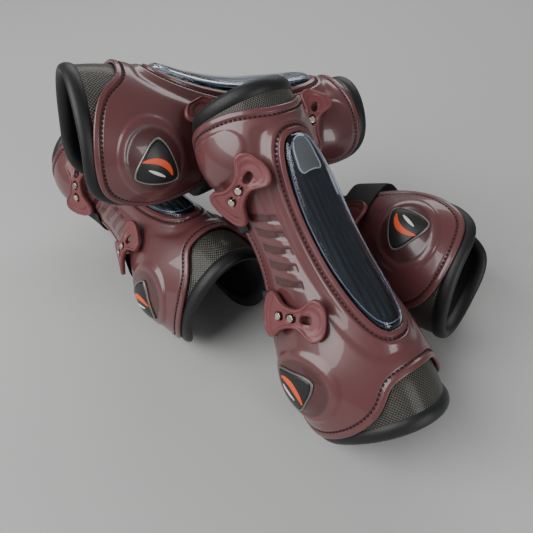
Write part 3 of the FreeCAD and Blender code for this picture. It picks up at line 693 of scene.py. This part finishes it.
def strap_point(angle, z, level):
    """On the skin as far as the shell's front, then y = e + 14 tanh((y - e) / 14)."""
    here = skin(np.where(angle <= 180, angle, angle - 360), z, level)
    edge = skin(np.interp(z, front[:, 1], front[:, 0]) + 6, z, level)[..., 1]
    y = here[..., 1]
    here[..., 1] = np.where(y > edge, edge + 14 * np.tanh((y - edge) / 14), y)
    return here


web, web_shader = surface(
    "dark_grey_woven_elastic", Base_Color=linear("2a2a2d"), Roughness=0.75
)
# Rubber cores under the yarn make fine ribs along the band and a dry, dull face.
lay = add(web, "ShaderNodeAttribute", attribute_name="lay").outputs["Vector"]
parts = add(web, "ShaderNodeSeparateXYZ", {0: lay})
cord_rib = math(web, "SINE", math(web, "MULTIPLY", parts.outputs["Y"], 4.2))
pick = math(web, "SINE", math(web, "MULTIPLY", parts.outputs["X"], 7.0))
yarn = math(web, "ADD", cord_rib, math(web, "MULTIPLY", pick, 0.4))
web_bump = add(web, "ShaderNodeBump", {"Height": yarn, "Strength": 0.7, "Distance": 0.0003})
link(web, web_bump.outputs["Normal"], web_shader.inputs["Normal"])
for name, height in STRAPS.items():
    strap_a = np.linspace(95, 263, 150)[None, :]
    strap_v = np.linspace(-1, 1, 15)[:, None]
    strap_z = height + strap_v * STRAP_WIDTH / 2 + 0 * strap_a
    strap_edge = 0.75 * (1 - np.abs(strap_v) ** 10)
    strap_out = strap_point(strap_a + 0 * strap_z, strap_z, 1.65 + strap_edge)
    strap_in = strap_point(strap_a + 0 * strap_z, strap_z, 1.65 - strap_edge)[::-1]
    strap_grid = np.concatenate([strap_out, strap_in])
    near_end = np.repeat(strap_grid[:, :1].mean(0, keepdims=True), len(strap_grid), 0)
    far_end = np.repeat(strap_grid[:, -1:].mean(0, keepdims=True), len(strap_grid), 0)
    strap_grid = np.concatenate([near_end, strap_grid, far_end], 1)
    strap_lay = np.stack([strap_a * 0.75 + 0 * strap_z, strap_z], -1)
    strap_lay = np.concatenate([strap_lay, strap_lay[::-1]])
    strap_lay = np.concatenate([strap_lay[:, :1], strap_lay, strap_lay[:, -1:]], 1)
    for boot in HEAP:
        strap = piece(
            boot + "_" + name + "_elastic", boot, boot + "_boot", [(strap_grid, True, False)],
            web, [strap_lay],
        )
        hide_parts(boot + "_" + name + "_strap")

# ------------------------------------------------------------ toggles
# Each toggle is a satin moulded bow tie of the shell's polyurethane: a raised rim round both
# lobes, three oblong holes down its waist and a thumb hollow in its free lobe.
TOGGLES = {"lower": (75.0, 96.0, -20.0), "upper": (74.0, 187.0, 24.0)}
TOGGLE_LIFT = 5.2
BEND_RADIUS = 62.0
THICKNESS = 3.0
START = -27.0
END = 27.0
HOLES = [-9.0, 2.0, 13.0]
HOLE_RUN = 1.4
HOLE_RADIUS = 2.9
bow_half = [
    (START, 0), (START + 1.6, 9.35), (START + 7, 16.15), (START + 13, 14.96), (START + 19, 10.2),
    (START + 27, 7.0), (END - 20, 7.0), (END - 14, 10.875), (END - 8, 14.5), (END - 3, 11.6),
    (END, 0),
]
bow = curve(bow_half + [(x, -y) for x, y in bow_half[-2:0:-1]], 400, True)[:-1]
upper_bow = bow[bow[:, 1] >= 0]
upper_bow = upper_bow[np.argsort(upper_bow[:, 0])]


def half_span(x):
    """Half width of the bow tie at x."""
    return np.interp(x, upper_bow[:, 0], upper_bow[:, 1])


def toggle_height(x, y):
    """Rim 0.9 mm high by distance to the outline, a thumb hollow, and two arcs for the strap."""
    span = half_span(x)
    to_end = np.minimum(x - START, END - x)
    inside = np.minimum(span - np.abs(y), to_end * 1.6)
    rim_up = 0.9 * smooth((3.2 - inside) / 1.4) - 1.1 * (1 - np.sqrt(np.clip(inside / 1.1, 0, 1)))
    hollow = -1.0 * smooth((8.2 - np.hypot(x - END + 10.5, y * 0.85)) / 2.5)
    arc = np.hypot(x + 6, y)
    slot_cut = -1.2 * bump(arc - 15.2, 0.6) * smooth((11.5 - np.abs(y)) / 1.5) * (x < -12)
    return THICKNESS + rim_up + hollow + slot_cut


def bend(points, angle, z, tilt):
    """Flat toggle millimetres to the boot: the middle on the skin, bent to the 62 mm radius."""
    here = skin(np.array(angle), np.array(z), TOGGLE_LIFT)
    round_leg = skin(np.array(angle - 0.5), np.array(z), TOGGLE_LIFT)
    round_leg = round_leg - skin(np.array(angle + 0.5), np.array(z), TOGGLE_LIFT)
    round_leg /= np.linalg.norm(round_leg)
    up = skin(np.array(angle), np.array(z + 0.5), TOGGLE_LIFT)
    up = up - skin(np.array(angle), np.array(z - 0.5), TOGGLE_LIFT)
    normal = np.cross(round_leg, up)
    normal /= np.linalg.norm(normal)
    normal *= np.sign(normal @ (here - np.array([0, -4, z])))
    up = np.cross(normal, round_leg)
    t = np.radians(tilt)
    along = round_leg * np.cos(t) + up * np.sin(t)
    across = np.cross(normal, along)
    x, y, h = points[..., 0], points[..., 1], points[..., 2]
    a = x / BEND_RADIUS
    r = BEND_RADIUS + h
    return (here + along * (r * np.sin(a))[..., None] + across * y[..., None]
            + normal * (r * np.cos(a) - BEND_RADIUS)[..., None])


def cell(x0, x1, hole, steps, rows):
    """Flat places of one stretch: a ring round an oblong hole, or straight lines across."""
    lines = np.linspace(-1, 1, steps)
    if hole is None:
        xs = np.linspace(x0, x1, rows)[:, None]
        return np.stack([xs + 0 * lines, half_span(xs) * lines], -1)
    bottom_x = np.linspace(x0, x1, steps)
    edge = [np.stack([bottom_x, -half_span(bottom_x)], 1)]
    edge.append(np.stack([np.full(steps, x1), half_span(x1) * lines], 1)[1:])
    edge.append(np.stack([bottom_x[::-1], half_span(bottom_x[::-1])], 1)[1:])
    edge.append(np.stack([np.full(steps, x0), half_span(x0) * lines[::-1]], 1)[1:-1])
    edge = np.vstack(edge)
    t = np.arctan2(edge[:, 1], edge[:, 0] - hole)
    oval_x = hole + HOLE_RADIUS * np.cos(t) + HOLE_RUN * np.tanh(4 * np.cos(t))
    oval = np.stack([oval_x, HOLE_RADIUS * np.sin(t)], 1)
    s = np.linspace(0, 1, rows)[:, None, None]
    return oval[None] + (edge - oval)[None] * s


def toggle_grids(place):
    grids = []
    cuts = [START + 0.02, -14.5, -3.5, 7.5, 18.5, END - 0.02]
    for i in range(5):
        hole = HOLES[i - 1] if 0 < i < 4 else None
        flat = cell(cuts[i], cuts[i + 1], hole, 25, 20)
        high = toggle_height(flat[..., 0], flat[..., 1])
        if hole is not None:
            soft = np.linspace(0, 1, 20)[:, None]
            high = high - 0.5 * (1 - smooth(soft / 0.2))
        top = bend(np.concatenate([flat, high[..., None]], -1), *place)
        under = bend(np.concatenate([flat, 0 * high[..., None]], -1), *place)
        wraps = hole is not None
        grids += [(top, False, wraps), (under, False, wraps)]
        if wraps:
            grids.append((np.stack([top[0], under[0]]), False, True))
            for side in (slice(0, 25), slice(48, 73)):
                grids.append((np.stack([top[-1, side], under[-1, side]]), False, False))
        else:
            grids.append((np.stack([top[:, 0], under[:, 0]]), False, False))
            grids.append((np.stack([top[:, -1], under[:, -1]]), False, False))
            end = 0 if i == 0 else -1
            grids.append((np.stack([top[end], under[end]]), False, False))
    return grids


satin, satin_shader = surface(
    "burgundy_tpu_satin_mould", Base_Color=linear("743e40"), Roughness=0.4, Specular_IOR_Level=0.5
)
# A finely blasted mould: the same colour as the shell but paler, with soft wide highlights.
place = add(satin, "ShaderNodeTexCoord").outputs["Object"]
grain = add(satin, "ShaderNodeTexNoise", {"Vector": place, "Scale": 1500.0, "Detail": 2.0})
grain_bump = add(satin, "ShaderNodeBump", {
    "Height": grain.outputs["Fac"], "Strength": 0.15, "Distance": 0.0001,
})
link(satin, grain_bump.outputs["Normal"], satin_shader.inputs["Normal"])
for name, toggle_place in TOGGLES.items():
    grids = toggle_grids(toggle_place)
    for boot in HEAP:
        body = boot + "_" + name + "_toggle_body"
        toggle = piece(boot + "_" + name + "_bow_toggle", boot, body, grids, satin, None, 3e-5)
        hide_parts(boot + "_" + name + "_toggle")

# ------------------------------------------------------------ studs and rivets
# The studs are turned steel, polished, and the strap rivets are darker plated steel. Both are
# the CAD solids with a metal finish.
steel, _ = surface(
    "turned_steel_polished", Base_Color=linear("c9c2b4"), Metallic=1.0, Roughness=0.2
)
dark_steel, _ = surface(
    "dark_plated_steel", Base_Color=linear("6b6a69"), Metallic=1.0, Roughness=0.32
)
for boot in HEAP:
    for node, metal in (("_studs", steel), ("_strap_rivets", dark_steel)):
        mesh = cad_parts[boot + node].data
        mesh.materials.clear()
        mesh.materials.append(metal)

# ------------------------------------------------------------ floor, light and camera
# A plain pale studio floor, a large soft light above and to the left, smaller ones at the right
# and behind, and a camera that looks down on the heap from the front.
bpy.ops.mesh.primitive_plane_add(size=30, location=(0, 0, 0))
floor = bpy.context.active_object
floor.name = "floor"
floor_material, _ = surface("matte_pale_floor", Base_Color=linear("b9bab8"), Roughness=0.7)
floor.data.materials.append(floor_material)

scene = bpy.context.scene
world = bpy.data.worlds.new("studio")
world.use_nodes = True
world.node_tree.nodes["Background"].inputs["Color"].default_value = linear("c9cccc")
world.node_tree.nodes["Background"].inputs["Strength"].default_value = 0.35
scene.world = world


def softbox(name, place, aim, size, power):
    """An area light of (width, height) in metres at place, facing aim."""
    light = bpy.data.lights.new(name, "AREA")
    light.shape = "RECTANGLE"
    light.size, light.size_y = size
    light.energy = power
    made = bpy.data.objects.new(name, light)
    scene.collection.objects.link(made)
    made.location = place
    made.rotation_euler = (Vector(aim) - Vector(place)).to_track_quat("-Z", "Y").to_euler()


softbox("key_box", (-1.1, -0.55, 1.1), (0, 0, 0.1), (1.5, 1.2), 30)
softbox("right_box", (1.0, -1.2, 0.55), (0, 0, 0.1), (0.6, 0.9), 9)
softbox("back_box", (0.2, 1.4, 1.2), (0, 0, 0.1), (1.8, 0.7), 13)

camera_data = bpy.data.cameras.new("camera")
camera_data.sensor_width = 36.0
camera_data.lens = 36.01
camera = bpy.data.objects.new("camera", camera_data)
scene.collection.objects.link(camera)
camera.location = (0.0122, -0.3428, 0.3681)
camera.rotation_euler = (np.radians(46.61), 0.0, 0.0)
scene.camera = camera
